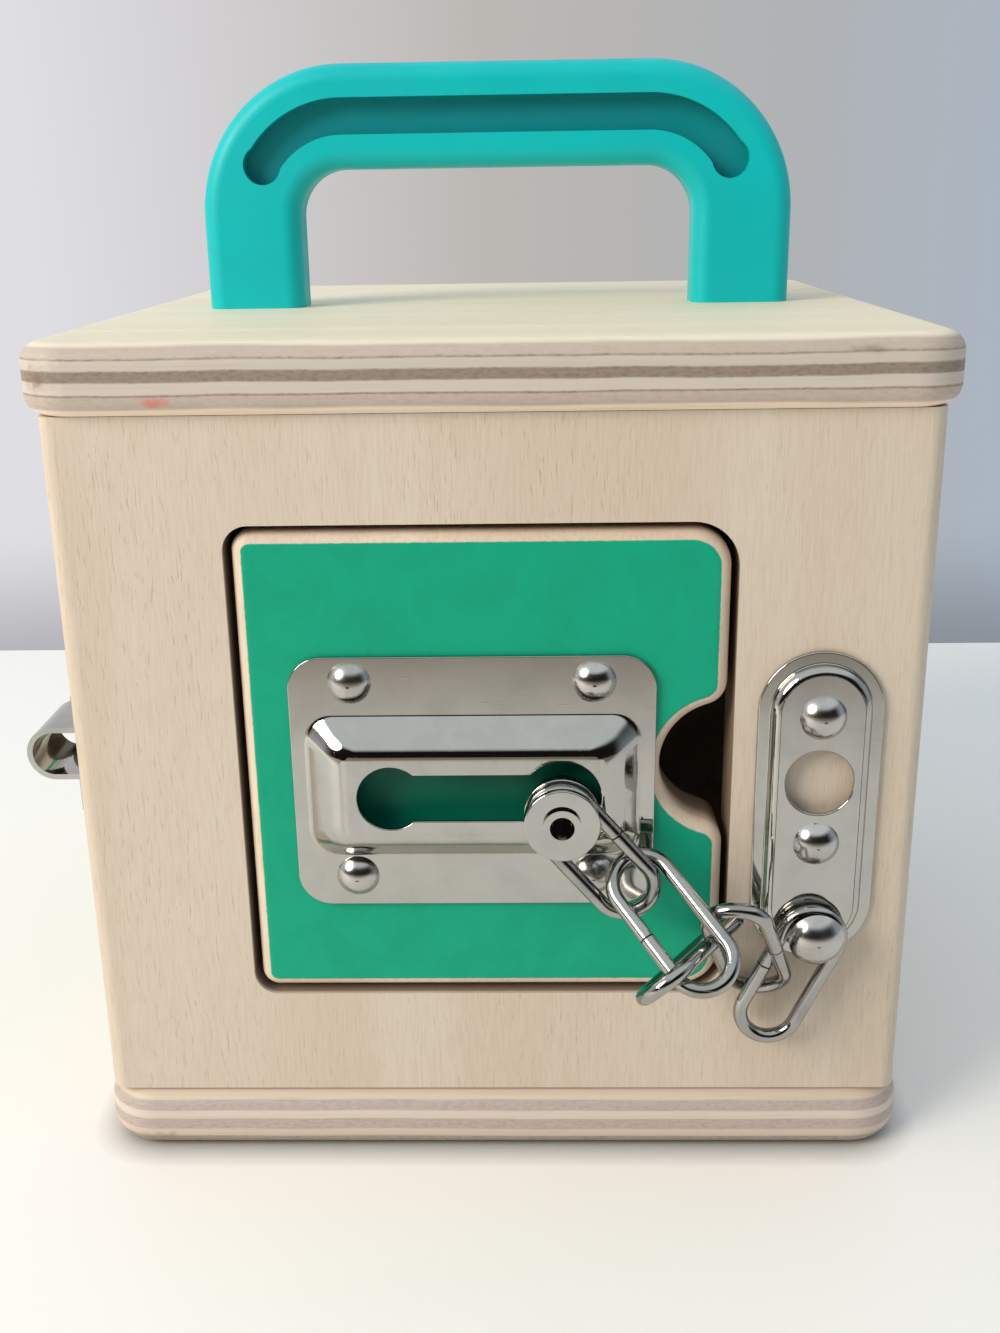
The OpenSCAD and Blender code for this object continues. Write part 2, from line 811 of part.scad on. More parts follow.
module bolt_keeper() {
    color("gainsboro")
    on_left()
    difference() {
        translate([keeper_front - keeper_len, bolt_z, 0]) {
            strap(keeper_len, keeper_w, sheet, bolt_out);
            for (sy = [0, 1])
                mirror([0, sy, 0]) translate([0, keeper_w/2 - sheet, 0])
                    cube([keeper_len, keeper_flange + sheet, sheet]);
        }
        keeper_rivet_places()
            translate([0, 0, -over_cut]) cylinder(d = small_shank_d, h = sheet + 2*over_cut);
    }
}

module keeper_rivets() {
    color("gainsboro")
    on_left() keeper_rivet_places() rivet(small_rivet_d, dome_small, small_shank_d, sheet, small_shank);
}

module bolt_guide() {
    color("gainsboro")
    on_left()
    difference() {
        union() {
            translate([(guide_left + guide_right)/2, bolt_z, 0])
                linear_extrude(sheet) rounded_rect(guide_len, guide_h, guide_r);
            for (u = [guide_left, guide_right - strap_len])
                translate([u, bolt_z, 0]) strap(strap_len, rod_d + 2*(strap_gap + sheet), sheet, bolt_out);
        }
        guide_rivet_places()
            translate([0, 0, -over_cut]) cylinder(d = small_shank_d, h = sheet + 2*over_cut);
    }
}

module guide_rivets() {
    color("gainsboro")
    on_left() guide_rivet_places() rivet(small_rivet_d, dome_small, small_shank_d, sheet, small_shank);
}

module bolt_rod() {
    color("silver")
    on_left() translate([rod_tip - rod_len, bolt_z, bolt_out]) rotate([0, 90, 0])
    difference() {
        cylinder(d = rod_d, h = rod_len);
        translate([-rod_d, 0, knob_u - rod_tip + rod_len]) rotate([0, 90, 0])
            cylinder(d = knob_stem_d, h = rod_d);
    }
}

module bolt_knob() {
    color("silver")
    on_left() translate([knob_u, bolt_z, 0]) {
        translate([0, 0, bolt_out]) cylinder(d = knob_stem_d, h = knob_out - bolt_out);
        translate([0, 0, knob_out]) sphere(d = knob_ball_d);
    }
}

module top_dowels() {
    color("peru")
    top_dowel_set();
}

module base_dowels() {
    color("peru")
    base_dowel_set();
}

base_plate();
top_plate();
front_panel();
back_panel();
left_panel();
right_panel();
front_door();
side_door();
front_door_pins();
side_door_pins();
handle();
handle_screws();
slot_plate();
slot_plate_rivets();
chain_stud();
stud_eyelet();
chain_link_1();
chain_link_2();
chain_link_3();
chain_link_4();
chain_link_5();
anchor_plate();
anchor_rivets();
chain_rivet();
bolt_keeper();
keeper_rivets();
bolt_guide();
guide_rivets();
bolt_rod();
bolt_knob();
top_dowels();
base_dowels();
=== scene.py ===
import bpy
import math
from mathutils import Matrix, Vector


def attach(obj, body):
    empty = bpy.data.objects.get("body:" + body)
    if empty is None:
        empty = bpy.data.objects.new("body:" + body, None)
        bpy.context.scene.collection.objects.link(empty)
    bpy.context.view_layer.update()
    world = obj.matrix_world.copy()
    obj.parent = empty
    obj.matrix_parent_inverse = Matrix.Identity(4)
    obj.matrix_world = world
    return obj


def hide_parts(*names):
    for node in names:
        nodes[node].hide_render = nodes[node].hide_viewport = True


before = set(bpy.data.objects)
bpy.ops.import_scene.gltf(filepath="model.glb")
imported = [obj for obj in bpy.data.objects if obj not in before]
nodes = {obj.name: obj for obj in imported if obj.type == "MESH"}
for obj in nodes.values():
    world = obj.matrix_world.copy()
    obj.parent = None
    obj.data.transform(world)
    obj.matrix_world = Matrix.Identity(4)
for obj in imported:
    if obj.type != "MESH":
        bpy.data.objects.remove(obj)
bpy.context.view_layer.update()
print("frame loaded:", len(nodes), "nodes")


def screenColour(r, g, b):                                                  # read off a screen, 0 to 255, made linear
    shares = [value / 255 for value in (r, g, b)]
    linear = [((share + 0.055) / 1.055) ** 2.4 if share > 0.04 else share / 12.92 for share in shares]
    return (*linear, 1.0)


def put(tree, kind, props=None, values=None):
    node = tree.nodes.new(kind)
    for key, value in (props or {}).items():
        setattr(node, key, value)
    for key, value in (values or {}).items():
        node.inputs[key].default_value = value
    return node


def wire(tree, start, startSocket, end, endSocket):
    tree.links.new(start.outputs[startSocket], end.inputs[endSocket])


def feed(tree, source, socket):                                             # links a socket, sets a plain value
    if isinstance(source, bpy.types.NodeSocket):
        tree.links.new(source, socket)
    else:
        socket.default_value = source


def math2(tree, operation, first, second=None):
    node = put(tree, "ShaderNodeMath", {"operation": operation})
    feed(tree, first, node.inputs[0])
    if second is not None:
        feed(tree, second, node.inputs[1])
    return node.outputs[0]


def away(tree, value, middle):                                              # distance from a middle, either way
    return math2(tree, "ABSOLUTE", math2(tree, "SUBTRACT", value, middle))


def blendColour(tree, mask, first, second):
    node = put(tree, "ShaderNodeMix", {"data_type": "RGBA"})
    for index, source in ((0, mask), (6, first), (7, second)):
        feed(tree, source, node.inputs[index])
    return node.outputs[2]


def span(tree, value, low, high, toLow=0.0, toHigh=1.0, smooth=True):
    node = put(tree, "ShaderNodeMapRange", {"interpolation_type": "SMOOTHSTEP" if smooth else "LINEAR"})
    tree.links.new(value, node.inputs["Value"])
    for key, number in (("From Min", low), ("From Max", high), ("To Min", toLow), ("To Max", toHigh)):
        node.inputs[key].default_value = number
    return node.outputs["Result"]


def noise(tree, vector, scale, detail=2.0, rough=0.5, distortion=0.0):
    values = {"Scale": scale, "Detail": detail, "Roughness": rough, "Distortion": distortion}
    node = put(tree, "ShaderNodeTexNoise", None, values)
    tree.links.new(vector, node.inputs["Vector"])
    return node.outputs["Fac"]


def mapped(tree, vector, scale=(1, 1, 1), place=(0, 0, 0), turn=(0, 0, 0), kind="POINT"):
    values = {"Location": place, "Rotation": turn, "Scale": scale}
    node = put(tree, "ShaderNodeMapping", {"vector_type": kind}, values)
    tree.links.new(vector, node.inputs["Vector"])
    return node.outputs["Vector"]


def axes(tree, vector):
    node = put(tree, "ShaderNodeSeparateXYZ")
    tree.links.new(vector, node.inputs[0])
    return node.outputs


def within(tree, split, letter, middle, half, soft):                        # 1 between two planes
    return span(tree, away(tree, split[letter], middle), half + soft, half)


def colourRamp(tree, value, stops):
    ramp = put(tree, "ShaderNodeValToRGB")
    elements = ramp.color_ramp.elements
    for i, (at, colour) in enumerate(stops):
        element = elements[i] if i < 2 else elements.new(at)                # a new ramp has two
        element.position = at
        element.color = screenColour(*colour)
    tree.links.new(value, ramp.inputs["Fac"])
    return ramp.outputs["Color"]


def startMaterial(name):
    material = bpy.data.materials.new(name)
    material.use_nodes = True
    tree = material.node_tree
    tree.nodes.clear()
    output = put(tree, "ShaderNodeOutputMaterial")
    shader = put(tree, "ShaderNodeBsdfPrincipled")
    wire(tree, shader, "BSDF", output, "Surface")
    coords = put(tree, "ShaderNodeTexCoord")
    return material, tree, shader, coords.outputs["Object"]


def bumped(tree, shader, height, strength, distance):
    node = put(tree, "ShaderNodeBump", None, {"Strength": strength, "Distance": distance})
    tree.links.new(height, node.inputs["Height"])
    wire(tree, node, "Normal", shader, "Normal")


def dress(material, *names):
    for name in names:
        slots = nodes[name].data.materials
        slots.clear()
        slots.append(material)


def startGroup(name, outputs):
    tree = bpy.data.node_groups.new(name, "ShaderNodeTree")
    tree.interface.new_socket(name="Vector", in_out="INPUT", socket_type="NodeSocketVector")
    for label in outputs:
        tree.interface.new_socket(name=label, in_out="OUTPUT", socket_type="NodeSocketFloat")
    start, end = tree.nodes.new("NodeGroupInput"), tree.nodes.new("NodeGroupOutput")
    return tree, start.outputs["Vector"], end.inputs


def place(tree, group, vector):
    node = put(tree, "ShaderNodeGroup", {"node_tree": group})
    tree.links.new(vector, node.inputs["Vector"])
    return node.outputs


birch = {                                                                   # waves per metre, the grain runs along z
    "figure": (34, 34, 5),
    "fibre": (1700, 1700, 150),
    "pores": (2100, 2100, 330),
    "patches": (40, 40, 14),
}


def makeGrain(values):
    tree, here, ends = startGroup("birchGrain", ("Figure", "Fibre", "Pores"))
    figure = noise(tree, mapped(tree, here, values["figure"]), 1.0, 3.0, 0.55, 0.8)
    fibre = noise(tree, mapped(tree, here, values["fibre"]), 1.0, 3.0, 0.6)
    dashes = noise(tree, mapped(tree, here, values["pores"]), 1.0, 1.5, 0.45)
    patches = noise(tree, mapped(tree, here, values["patches"]), 1.0, 1.0)
    patches = span(tree, patches, 0.35, 0.65, 0.3, 1.0)
    pores = math2(tree, "MULTIPLY", span(tree, dashes, 0.60, 0.76), patches)
    for label, value in (("Figure", figure), ("Fibre", fibre), ("Pores", pores)):
        tree.links.new(value, ends[label])
    return tree


rubbing = {                                                                 # hand marks and scratches, in waves per metre
    "smudge": 120.0,
    "lines": {"scale": (2600, 2600, 160), "place": (0, 0, 0), "turn": (0.5, 0.4, 0.9), "from": (0.70, 0.78)},
    "cross": {"scale": (170, 2800, 2800), "place": (0.3, 0, 0), "turn": (-0.4, 0.6, 0.2), "from": (0.72, 0.80)},
}


def makeRubbing(values):
    tree, here, ends = startGroup("rubMarks", ("Smudge", "Scratch"))
    tree.links.new(noise(tree, here, values["smudge"], 4.0, 0.6, 0.4), ends["Smudge"])
    scratches = []
    for key in ("lines", "cross"):
        way = values[key]
        streaks = noise(tree, mapped(tree, here, way["scale"], way["place"], way["turn"]), 1.0, 1.0)
        scratches.append(span(tree, streaks, *way["from"]))
    tree.links.new(math2(tree, "MAXIMUM", *scratches), ends["Scratch"])
    return tree


grainGroup = makeGrain(birch)
rubGroup = makeRubbing(rubbing)
print("groups built")

panelWood = {
    "pale": screenColour(211, 198, 181),
    "warm": screenColour(205, 189, 168),
    "pore": screenColour(176, 152, 126),
    # the brown below is painted shade for the walls of the door gap
    "gapShade": screenColour(112, 90, 70),
    "rough": (0.46, 0.60),
}
frontOpening = {"deep": "Y", "face": -0.077, "across": ("X", -0.0019, 0.0437), "high": ("Z", 0.0783, 0.0447)}
sideOpening = {"deep": "X", "face": -0.075, "across": ("Y", 0.0019, 0.0437), "high": ("Z", 0.0783, 0.0447)}
gapShadeWall = {"thick": 0.012, "start": (0.0003, 0.0012), "end": 0.0003, "soft": 0.0004, "strength": 0.8}
grainShow = {"figure": (0.3, 0.72), "fibre": (0.38, 0.78, 0.0, 0.24), "pores": 0.38}
woodRelief = {"strength": 0.25, "distance": 0.0002}


def woodColour(tree, grain, values):
    colour = blendColour(tree, span(tree, grain["Figure"], *grainShow["figure"]), values["pale"], values["warm"])
    colour = blendColour(tree, span(tree, grain["Fibre"], *grainShow["fibre"]), colour, values["pore"])
    pores = math2(tree, "MULTIPLY", grain["Pores"], grainShow["pores"])
    return blendColour(tree, pores, colour, values["pore"])


def gapShadeFaces(tree, coords, colour, values, opening):                       # the opening's own walls, with painted shade of the door gap
    split = axes(tree, coords)
    depth = math2(tree, "SUBTRACT", split[opening["deep"]], opening["face"])
    thick = gapShadeWall["thick"]
    # painted shade on the opening's walls, deeper than the front face
    mask = math2(tree, "MULTIPLY", span(tree, depth, *gapShadeWall["start"]),
                 span(tree, depth, thick, thick - gapShadeWall["end"]))
    for side in ("across", "high"):
        mask = math2(tree, "MULTIPLY", mask, within(tree, split, *opening[side], gapShadeWall["soft"]))
    return blendColour(tree, math2(tree, "MULTIPLY", mask, gapShadeWall["strength"]), colour, values["gapShade"])


def makePanelWood(name, values, offset, opening=None):
    material, tree, shader, coords = startMaterial(name)
    grain = place(tree, grainGroup, mapped(tree, coords, place=offset))
    colour = woodColour(tree, grain, values)
    if opening:
        colour = gapShadeFaces(tree, coords, colour, values, opening)
    tree.links.new(colour, shader.inputs["Base Color"])
    tree.links.new(span(tree, grain["Fibre"], 0.3, 0.8, *values["rough"]), shader.inputs["Roughness"])
    height = math2(tree, "SUBTRACT", grain["Fibre"], grain["Pores"])
    bumped(tree, shader, height, woodRelief["strength"], woodRelief["distance"])
    return material


dress(makePanelWood("frontBirch", panelWood, (0.0, 0.0, 0.0), frontOpening), "front_panel")
dress(makePanelWood("leftBirch", panelWood, (0.31, 0.12, 0.07), sideOpening), "left_panel")
dress(makePanelWood("rightBirch", panelWood, (0.47, 0.23, 0.05)), "right_panel")
dress(makePanelWood("backBirch", panelWood, (0.13, 0.42, 0.2)), "back_panel")
print("walls dressed")

# plywood seen on its edge: where each ply or glue line starts and ends, as shares of the thickness from below
topPly = {
    "low": 0.1415,
    "thick": 0.012,
    "plies": (
        (0.00, 0.09, (241, 219, 195)), (0.13, 0.28, (190, 174, 160)), (0.295, 0.305, (158, 142, 128)),
        (0.325, 0.46, (201, 190, 177)), (0.49, 0.61, (146, 131, 117)), (0.64, 0.755, (198, 188, 174)),
        (0.77, 0.78, (168, 152, 138)), (0.80, 0.92, (191, 177, 161)), (0.96, 1.00, (231, 220, 195)),
    ),
    "face": {
        "pale": screenColour(243, 233, 207), "warm": screenColour(235, 220, 190), "pore": screenColour(198, 174, 138),
    },
    "wave": 0.0007,
    "marks": (
        {"at": (-0.0745, -0.0795, 0.1478), "size": (0.006, 0.004, 0.0035),
         "colour": screenColour(120, 98, 76), "strength": 0.75},
        {"at": (-0.0540, -0.0798, 0.1440), "size": (0.0036, 0.002, 0.0015),
         "colour": screenColour(208, 118, 108), "strength": 0.8},
        {"at": (0.0600, -0.0798, 0.1512), "size": (0.0050, 0.003, 0.0010),
         "colour": screenColour(128, 110, 92), "strength": 0.5},
    ),
}
basePly = {
    "low": 0.0,
    "thick": 0.013,
    "plies": (
        (0.00, 0.095, (205, 190, 172)), (0.12, 0.24, (178, 164, 153)), (0.26, 0.375, (209, 192, 175)),
        (0.395, 0.555, (187, 171, 159)), (0.575, 0.685, (213, 198, 185)), (0.705, 0.83, (186, 171, 161)),
        (0.85, 1.00, (211, 192, 170)),
    ),
    "face": {
        "pale": screenColour(232, 220, 196), "warm": screenColour(222, 205, 176), "pore": screenColour(186, 162, 130),
    },
    "wave": 0.0005,
    "marks": (
        # painted shade on the lower rounded edge at the front-left corner
        {"at": (-0.066, -0.0770, 0.0030), "size": (0.010, 0.004, 0.0022),
         "colour": screenColour(140, 122, 102), "strength": 0.6},
    ),
}
plyEdge = {
    "sway": (28, 28, 60),
    "specks": {"scale": (700, 700, 1900), "from": (0.40, 0.72), "onDark": (0.50, 0.34), "strength": 0.45,
               "colour": screenColour(96, 82, 70)},
    "fibres": {"scale": (60, 60, 2600), "from": (0.45, 0.8, 0.0, 0.22), "colour": screenColour(170, 146, 118)},
    "skin": (0.0004, 0.0001),
    "rough": (0.3, 0.8, 0.48, 0.66),
    "relief": (0.3, 0.0002),
}
stainAndShadeEdge = {"ragged": 420.0, "raggedBy": 1.3, "edge": (1.55, 0.75)}


def marked(tree, coords, colour, marks):                                    # small stains and a painted shade patch, each at its own place
    for mark in marks:
        local = mapped(tree, coords, mark["size"], mark["at"], kind="TEXTURE")
        reach = put(tree, "ShaderNodeVectorMath", {"operation": "LENGTH"})
        tree.links.new(local, reach.inputs[0])
        ragged = math2(tree, "MULTIPLY", noise(tree, coords, stainAndShadeEdge["ragged"], 4.0, 0.65), stainAndShadeEdge["raggedBy"])
        near = math2(tree, "ADD", reach.outputs["Value"], ragged)
        mask = math2(tree, "MULTIPLY", span(tree, near, *stainAndShadeEdge["edge"]), mark["strength"])
        colour = blendColour(tree, mask, colour, mark["colour"])
    return colour


def plyShare(tree, coords, height, values):                                 # height in the plate, with a slight sway
    sway = noise(tree, mapped(tree, coords, plyEdge["sway"]), 1.0, 2.0)
    sway = math2(tree, "MULTIPLY", math2(tree, "SUBTRACT", sway, 0.5), 2 * values["wave"])
    above = math2(tree, "SUBTRACT", math2(tree, "ADD", height, sway), values["low"])
    return math2(tree, "DIVIDE", above, values["thick"])


def makePly(name, values):
    material, tree, shader, coords = startMaterial(name)
    along = mapped(tree, coords, turn=(0, math.radians(90), 0))             # grain from left to right
    grain = place(tree, grainGroup, along)
    face = woodColour(tree, grain, values["face"])
    height = axes(tree, coords)["Z"]
    stops = [(at, colour) for start, end, colour in values["plies"] for at in (start, end)]
    bands = colourRamp(tree, plyShare(tree, coords, height, values), stops)
    lightness = put(tree, "ShaderNodeRGBToBW")
    tree.links.new(bands, lightness.inputs["Color"])
    specks = plyEdge["specks"]                                              # end grain, on the darker plies
    ends = noise(tree, mapped(tree, coords, specks["scale"]), 1.0, 3.0, 0.7)
    dark = span(tree, lightness.outputs["Val"], *specks["onDark"])
    dots = math2(tree, "MULTIPLY", span(tree, ends, *specks["from"]), dark)
    edge = blendColour(tree, math2(tree, "MULTIPLY", dots, specks["strength"]), bands, specks["colour"])
    fibres = plyEdge["fibres"]
    streaks = noise(tree, mapped(tree, coords, fibres["scale"]), 1.0, 3.0, 0.6)
    edge = blendColour(tree, span(tree, streaks, *fibres["from"]), edge, fibres["colour"])
    half = values["thick"] / 2
    skin = span(tree, away(tree, height, values["low"] + half), *(half - depth for depth in plyEdge["skin"]))
    whole = marked(tree, coords, blendColour(tree, skin, edge, face), values["marks"])
    tree.links.new(whole, shader.inputs["Base Color"])
    tree.links.new(span(tree, ends, *plyEdge["rough"]), shader.inputs["Roughness"])
    bumped(tree, shader, math2(tree, "SUBTRACT", grain["Fibre"], dots), *plyEdge["relief"])
    return material


dress(makePly("topPlywood", topPly), "top_plate")
dress(makePly("basePlywood", basePly), "base_plate")
print("plates dressed")

doorPaint = {
    "green": screenColour(0, 161, 124),
    "shade": screenColour(0, 155, 118),
    "wood": {
        "pale": screenColour(226, 208, 186), "warm": screenColour(214, 192, 168), "pore": screenColour(170, 142, 118),
    },
    "gapShade": screenColour(112, 90, 70),
    "gapShadeDepth": (0.003, 0.007, 0.0, 0.75),
    "edge": 0.00006,
    "reach": 0.00016,
    "rough": (0.3, 0.75, 0.42, 0.54),
    "relief": (0.12, 0.0002),
    "specular": 0.25,
}
shadeUnderPlate = {                                                              # painted shade under the raised plate
    "x": (-0.0039, 0.0235), "z": (0.076, 0.0075), "fade": 0.003, "colour": screenColour(0, 106, 82),
}


def makeDoor(name, values, axis, faceAt, plateShade=None):
    material, tree, shader, coords = startMaterial(name)
    grain = place(tree, grainGroup, coords)
    wood = woodColour(tree, grain, values["wood"])
    split = axes(tree, coords)
    depth = math2(tree, "SUBTRACT", split[axis], faceAt)                    # below the painted face
    # painted shade on the door's side faces, darker deeper into the gap
    wood = blendColour(tree, span(tree, depth, *values["gapShadeDepth"]), wood, values["gapShade"])
    ragged = math2(tree, "MULTIPLY", noise(tree, coords, 900.0, 2.0), values["edge"])
    paint = span(tree, math2(tree, "ADD", depth, ragged), values["reach"], values["reach"] - values["edge"])
    rub = place(tree, rubGroup, coords)
    green = blendColour(tree, span(tree, rub["Smudge"], 0.35, 0.7), values["green"], values["shade"])
    if plateShade:
        # painted shade: the green is darkened where the raised slot plate hides the light
        sides = [within(tree, split, letter, *plateShade[letter.lower()], plateShade["fade"]) for letter in ("X", "Z")]
        green = blendColour(tree, math2(tree, "MULTIPLY", *sides), green, plateShade["colour"])
    tree.links.new(blendColour(tree, paint, wood, green), shader.inputs["Base Color"])
    tree.links.new(span(tree, rub["Smudge"], *values["rough"]), shader.inputs["Roughness"])
    shader.inputs["Specular IOR Level"].default_value = values["specular"]
    bumped(tree, shader, grain["Fibre"], *values["relief"])
    return material


dress(makeDoor("frontDoorPaint", doorPaint, "Y", frontOpening["face"], shadeUnderPlate), "front_door")
dress(makeDoor("sideDoorPaint", doorPaint, "X", sideOpening["face"]), "side_door")
print("doors dressed")

handlePlastic = {
    "teal": screenColour(0, 190, 191),
    "deep": screenColour(0, 184, 186),
    "grooveShade": screenColour(0, 142, 148),
    "cloud": 60.0,
    "pebble": 2600.0,
    "relief": (0.08, 0.0001),
    "rough": (0.3, 0.75, 0.38, 0.48),
    "specular": 0.3,
}
handleGroove = {
    "bendX": 0.03095,
    "bendZ": 0.1714,
    "bendR": 0.0193,
    "sides": (0.0043, 0.0039),
    "above": (0.0, 0.001),
    "front": (-0.0061, -0.0035),
    "floor": (-0.0005, -0.0015),
}


def grooveShadeMask(tree, coords, values):                                       # 1 on the groove's walls and floor, where shade is painted
    split = axes(tree, coords)
    beyond = math2(tree, "SUBTRACT", math2(tree, "ABSOLUTE", split["X"]), values["bendX"])
    beyond = math2(tree, "MAXIMUM", beyond, 0.0)
    above = math2(tree, "SUBTRACT", split["Z"], values["bendZ"])
    squares = [math2(tree, "MULTIPLY", side, side) for side in (beyond, above)]
    radius = math2(tree, "SQRT", math2(tree, "ADD", *squares))
    mask = span(tree, away(tree, radius, values["bendR"]), *values["sides"])
    mask = math2(tree, "MULTIPLY", mask, span(tree, above, *values["above"]))
    for key in ("front", "floor"):
        mask = math2(tree, "MULTIPLY", mask, span(tree, split["Y"], *values[key]))
    return mask


def makeHandle(name, values):
    material, tree, shader, coords = startMaterial(name)
    rub = place(tree, rubGroup, coords)
    cloud = noise(tree, coords, values["cloud"], 3.0)
    colour = blendColour(tree, span(tree, cloud, 0.3, 0.7), values["teal"], values["deep"])
    # painted shade: darker teal on the groove's walls and floor
    colour = blendColour(tree, grooveShadeMask(tree, coords, handleGroove), colour, values["grooveShade"])
    tree.links.new(colour, shader.inputs["Base Color"])
    shader.inputs["Specular IOR Level"].default_value = values["specular"]
    tree.links.new(span(tree, rub["Smudge"], *values["rough"]), shader.inputs["Roughness"])
    bumped(tree, shader, noise(tree, coords, values["pebble"], 2.0), *values["relief"])
    return material


dress(makeHandle("handleTeal", handlePlastic), "handle")
print("handle dressed")

plating = {"bright": screenColour(182, 180, 174), "dull": screenColour(174, 172, 166), "rough": (0.05, 0.13)}
rivetPlating = {"bright": screenColour(190, 188, 184), "dull": screenColour(170, 168, 164), "rough": (0.17, 0.30)}
chainPlating = {"bright": screenColour(168, 167, 164), "dull": screenColour(150, 149, 146), "rough": (0.08, 0.20)}
plainSteel = {"bright": screenColour(150, 150, 152), "dull": screenColour(120, 120, 124), "rough": (0.30, 0.45)}
scratchMark = {"rough": 0.10, "relief": (0.05, 0.0002)}
weldSeam = {
    "gap": (0.00022, 0.00008), "half": (0.0, 0.001), "colour": screenColour(40, 40, 42),
    "rough": 0.4, "relief": (0.15, 0.0002),
}


def seamMask(tree, coords, link):                                           # a thin line across one leg of a link
    turn = tuple(math.radians(angle) for angle in link["turn"])
    split = axes(tree, mapped(tree, coords, place=link["at"], turn=turn, kind="TEXTURE"))
    gap = span(tree, math2(tree, "ABSOLUTE", split["X"]), *weldSeam["gap"])
    side = span(tree, math2(tree, "MULTIPLY", split["Y"], link["side"]), *weldSeam["half"])
    return math2(tree, "MULTIPLY", gap, side)


def makeMetal(name, values, link=None):
    material, tree, shader, coords = startMaterial(name)
    shader.inputs["Metallic"].default_value = 1.0
    rub = place(tree, rubGroup, coords)
    colour = blendColour(tree, span(tree, rub["Smudge"], 0.35, 0.72), values["bright"], values["dull"])
    rough = span(tree, rub["Smudge"], 0.35, 0.8, *values["rough"])
    rough = math2(tree, "ADD", rough, math2(tree, "MULTIPLY", rub["Scratch"], scratchMark["rough"]))
    height, relief = rub["Scratch"], scratchMark["relief"]
    if link:
        seam = seamMask(tree, coords, link)
        colour = blendColour(tree, seam, colour, weldSeam["colour"])
        rough = math2(tree, "ADD", rough, math2(tree, "MULTIPLY", seam, weldSeam["rough"]))
        height, relief = math2(tree, "SUBTRACT", height, seam), weldSeam["relief"]
    tree.links.new(colour, shader.inputs["Base Color"])
    tree.links.new(rough, shader.inputs["Roughness"])
    bumped(tree, shader, height, *relief)
    return material


plates = ("slot_plate", "chain_stud", "stud_eyelet", "anchor_plate", "bolt_keeper", "bolt_guide", "bolt_rod", "bolt_knob")
rivets = ("slot_plate_rivets", "anchor_rivets", "chain_rivet", "keeper_rivets", "guide_rivets")
dress(makeMetal("brightPlating", plating), *plates)
dress(makeMetal("rivetPlating", rivetPlating), *rivets)
dress(makeMetal("plainSteel", plainSteel), "front_door_pins", "side_door_pins", "handle_screws")
chainLinks = {                                                              # middle and turn of each link, for its seam
    "chain_link_1": {"at": (0.0169, -0.087, 0.0673), "turn": (90, 49.4, 0), "side": 1},
    "chain_link_2": {"at": (0.0301, -0.0926, 0.057), "turn": (35.5, 33, -48), "side": -1},
    "chain_link_3": {"at": (0.0338, -0.0913, 0.0493), "turn": (134.5, -1.5, 55.5), "side": 1},
    "chain_link_4": {"at": (0.0442, -0.0854, 0.0474), "turn": (159.5, 56, 57.5), "side": 1},
    "chain_link_5": {"at": (0.0529, -0.0817, 0.0402), "turn": (90, 114.8, 0), "side": -1},
}
for name, link in chainLinks.items():
    dress(makeMetal(name.replace("chain_link_", "chainWire"), chainPlating, link), name)
print("metal dressed")

pressedSheet = {
    "slot_plate": {
        "name": "pressedSlotPlate", "body": "front_door", "rim": 0.0002,
        "slope": {
            "foot": -0.078, "crown": -0.083, "cuts": 20, "footBend": 0.08, "crownBend": 0.62, "footOut": 0.0012,
            "crownIn": 0, "crownShare": 0.8, "crownReach": 0.0015, "crownR": 0.003, "crownCuts": 6,
        },
    },
    "anchor_plate": {
        "name": "pressedAnchorPlate", "body": "box", "rim": 0.0003,
        "slope": {
            "foot": -0.078, "crown": -0.080, "cuts": 16, "footBend": 0.15, "crownBend": 0.40, "footOut": 0.0005,
            "crownIn": 0.0009, "crownShare": 1.0,
        },
    },
    "chain_stud": {"name": "turnedStud", "body": "stud", "rim": 0.00025},
}
meshWork = {"hair": 0.00001, "cut": 0.000001, "weld": 0.000002, "flat": 0.4, "rimAngle": 50, "rimSteps": 2}


def bentShare(share, footBend, crownBend):                                  # straight slope with a soft bend at each end
    steep = 1 / (1 - footBend / 2 - crownBend / 2)
    if share < footBend:
        return steep * share * share / (2 * footBend)
    if share > 1 - crownBend:
        return 1 - steep * (1 - share) ** 2 / (2 * crownBend)
    return steep * (share - footBend / 2)


def slopeFaces(mesh, values):                                               # outer slopes between the two flats
    low, high = values["crown"] - meshWork["hair"], values["foot"] + meshWork["hair"]
    found = []
    for face in mesh.polygons:
        depths = [mesh.vertices[i].co.y for i in face.vertices]
        if -0.97 < face.normal.y < -0.2 and low < min(depths) and max(depths) < high:
            found.append(face)
    return found


def crownFaces(mesh, values):                                               # the raised flat
    found = []
    for face in mesh.polygons:
        off = max(abs(mesh.vertices[i].co.y - values["crown"]) for i in face.vertices)
        if face.normal.y < -0.99 and off < meshWork["hair"]:
            found.append(face)
    return found


def cornersOf(mesh, faces):
    return {i: mesh.vertices[i].co for face in faces for i in face.vertices}


def cutFaces(piece, faces, point, facing):
    for face in faces:
        face.select = True
    bpy.ops.object.mode_set(mode="EDIT")
    bpy.ops.mesh.bisect(plane_co=point, plane_no=facing, threshold=meshWork["cut"])
    bpy.ops.mesh.select_all(action="DESELECT")
    bpy.ops.object.mode_set(mode="OBJECT")


def boxOf(corners):
    across, up = [corner.x for corner in corners.values()], [corner.z for corner in corners.values()]
    return min(across), max(across), min(up), max(up)


def insideBy(corner, box, radius):                                          # distance in from a rounded outline
    left, right, low, high = box
    x = abs(corner.x - (left + right) / 2) - (right - left) / 2 + radius
    z = abs(corner.z - (low + high) / 2) - (high - low) / 2 + radius
    return radius - min(max(x, z), 0) - math.hypot(max(x, 0), max(z, 0))


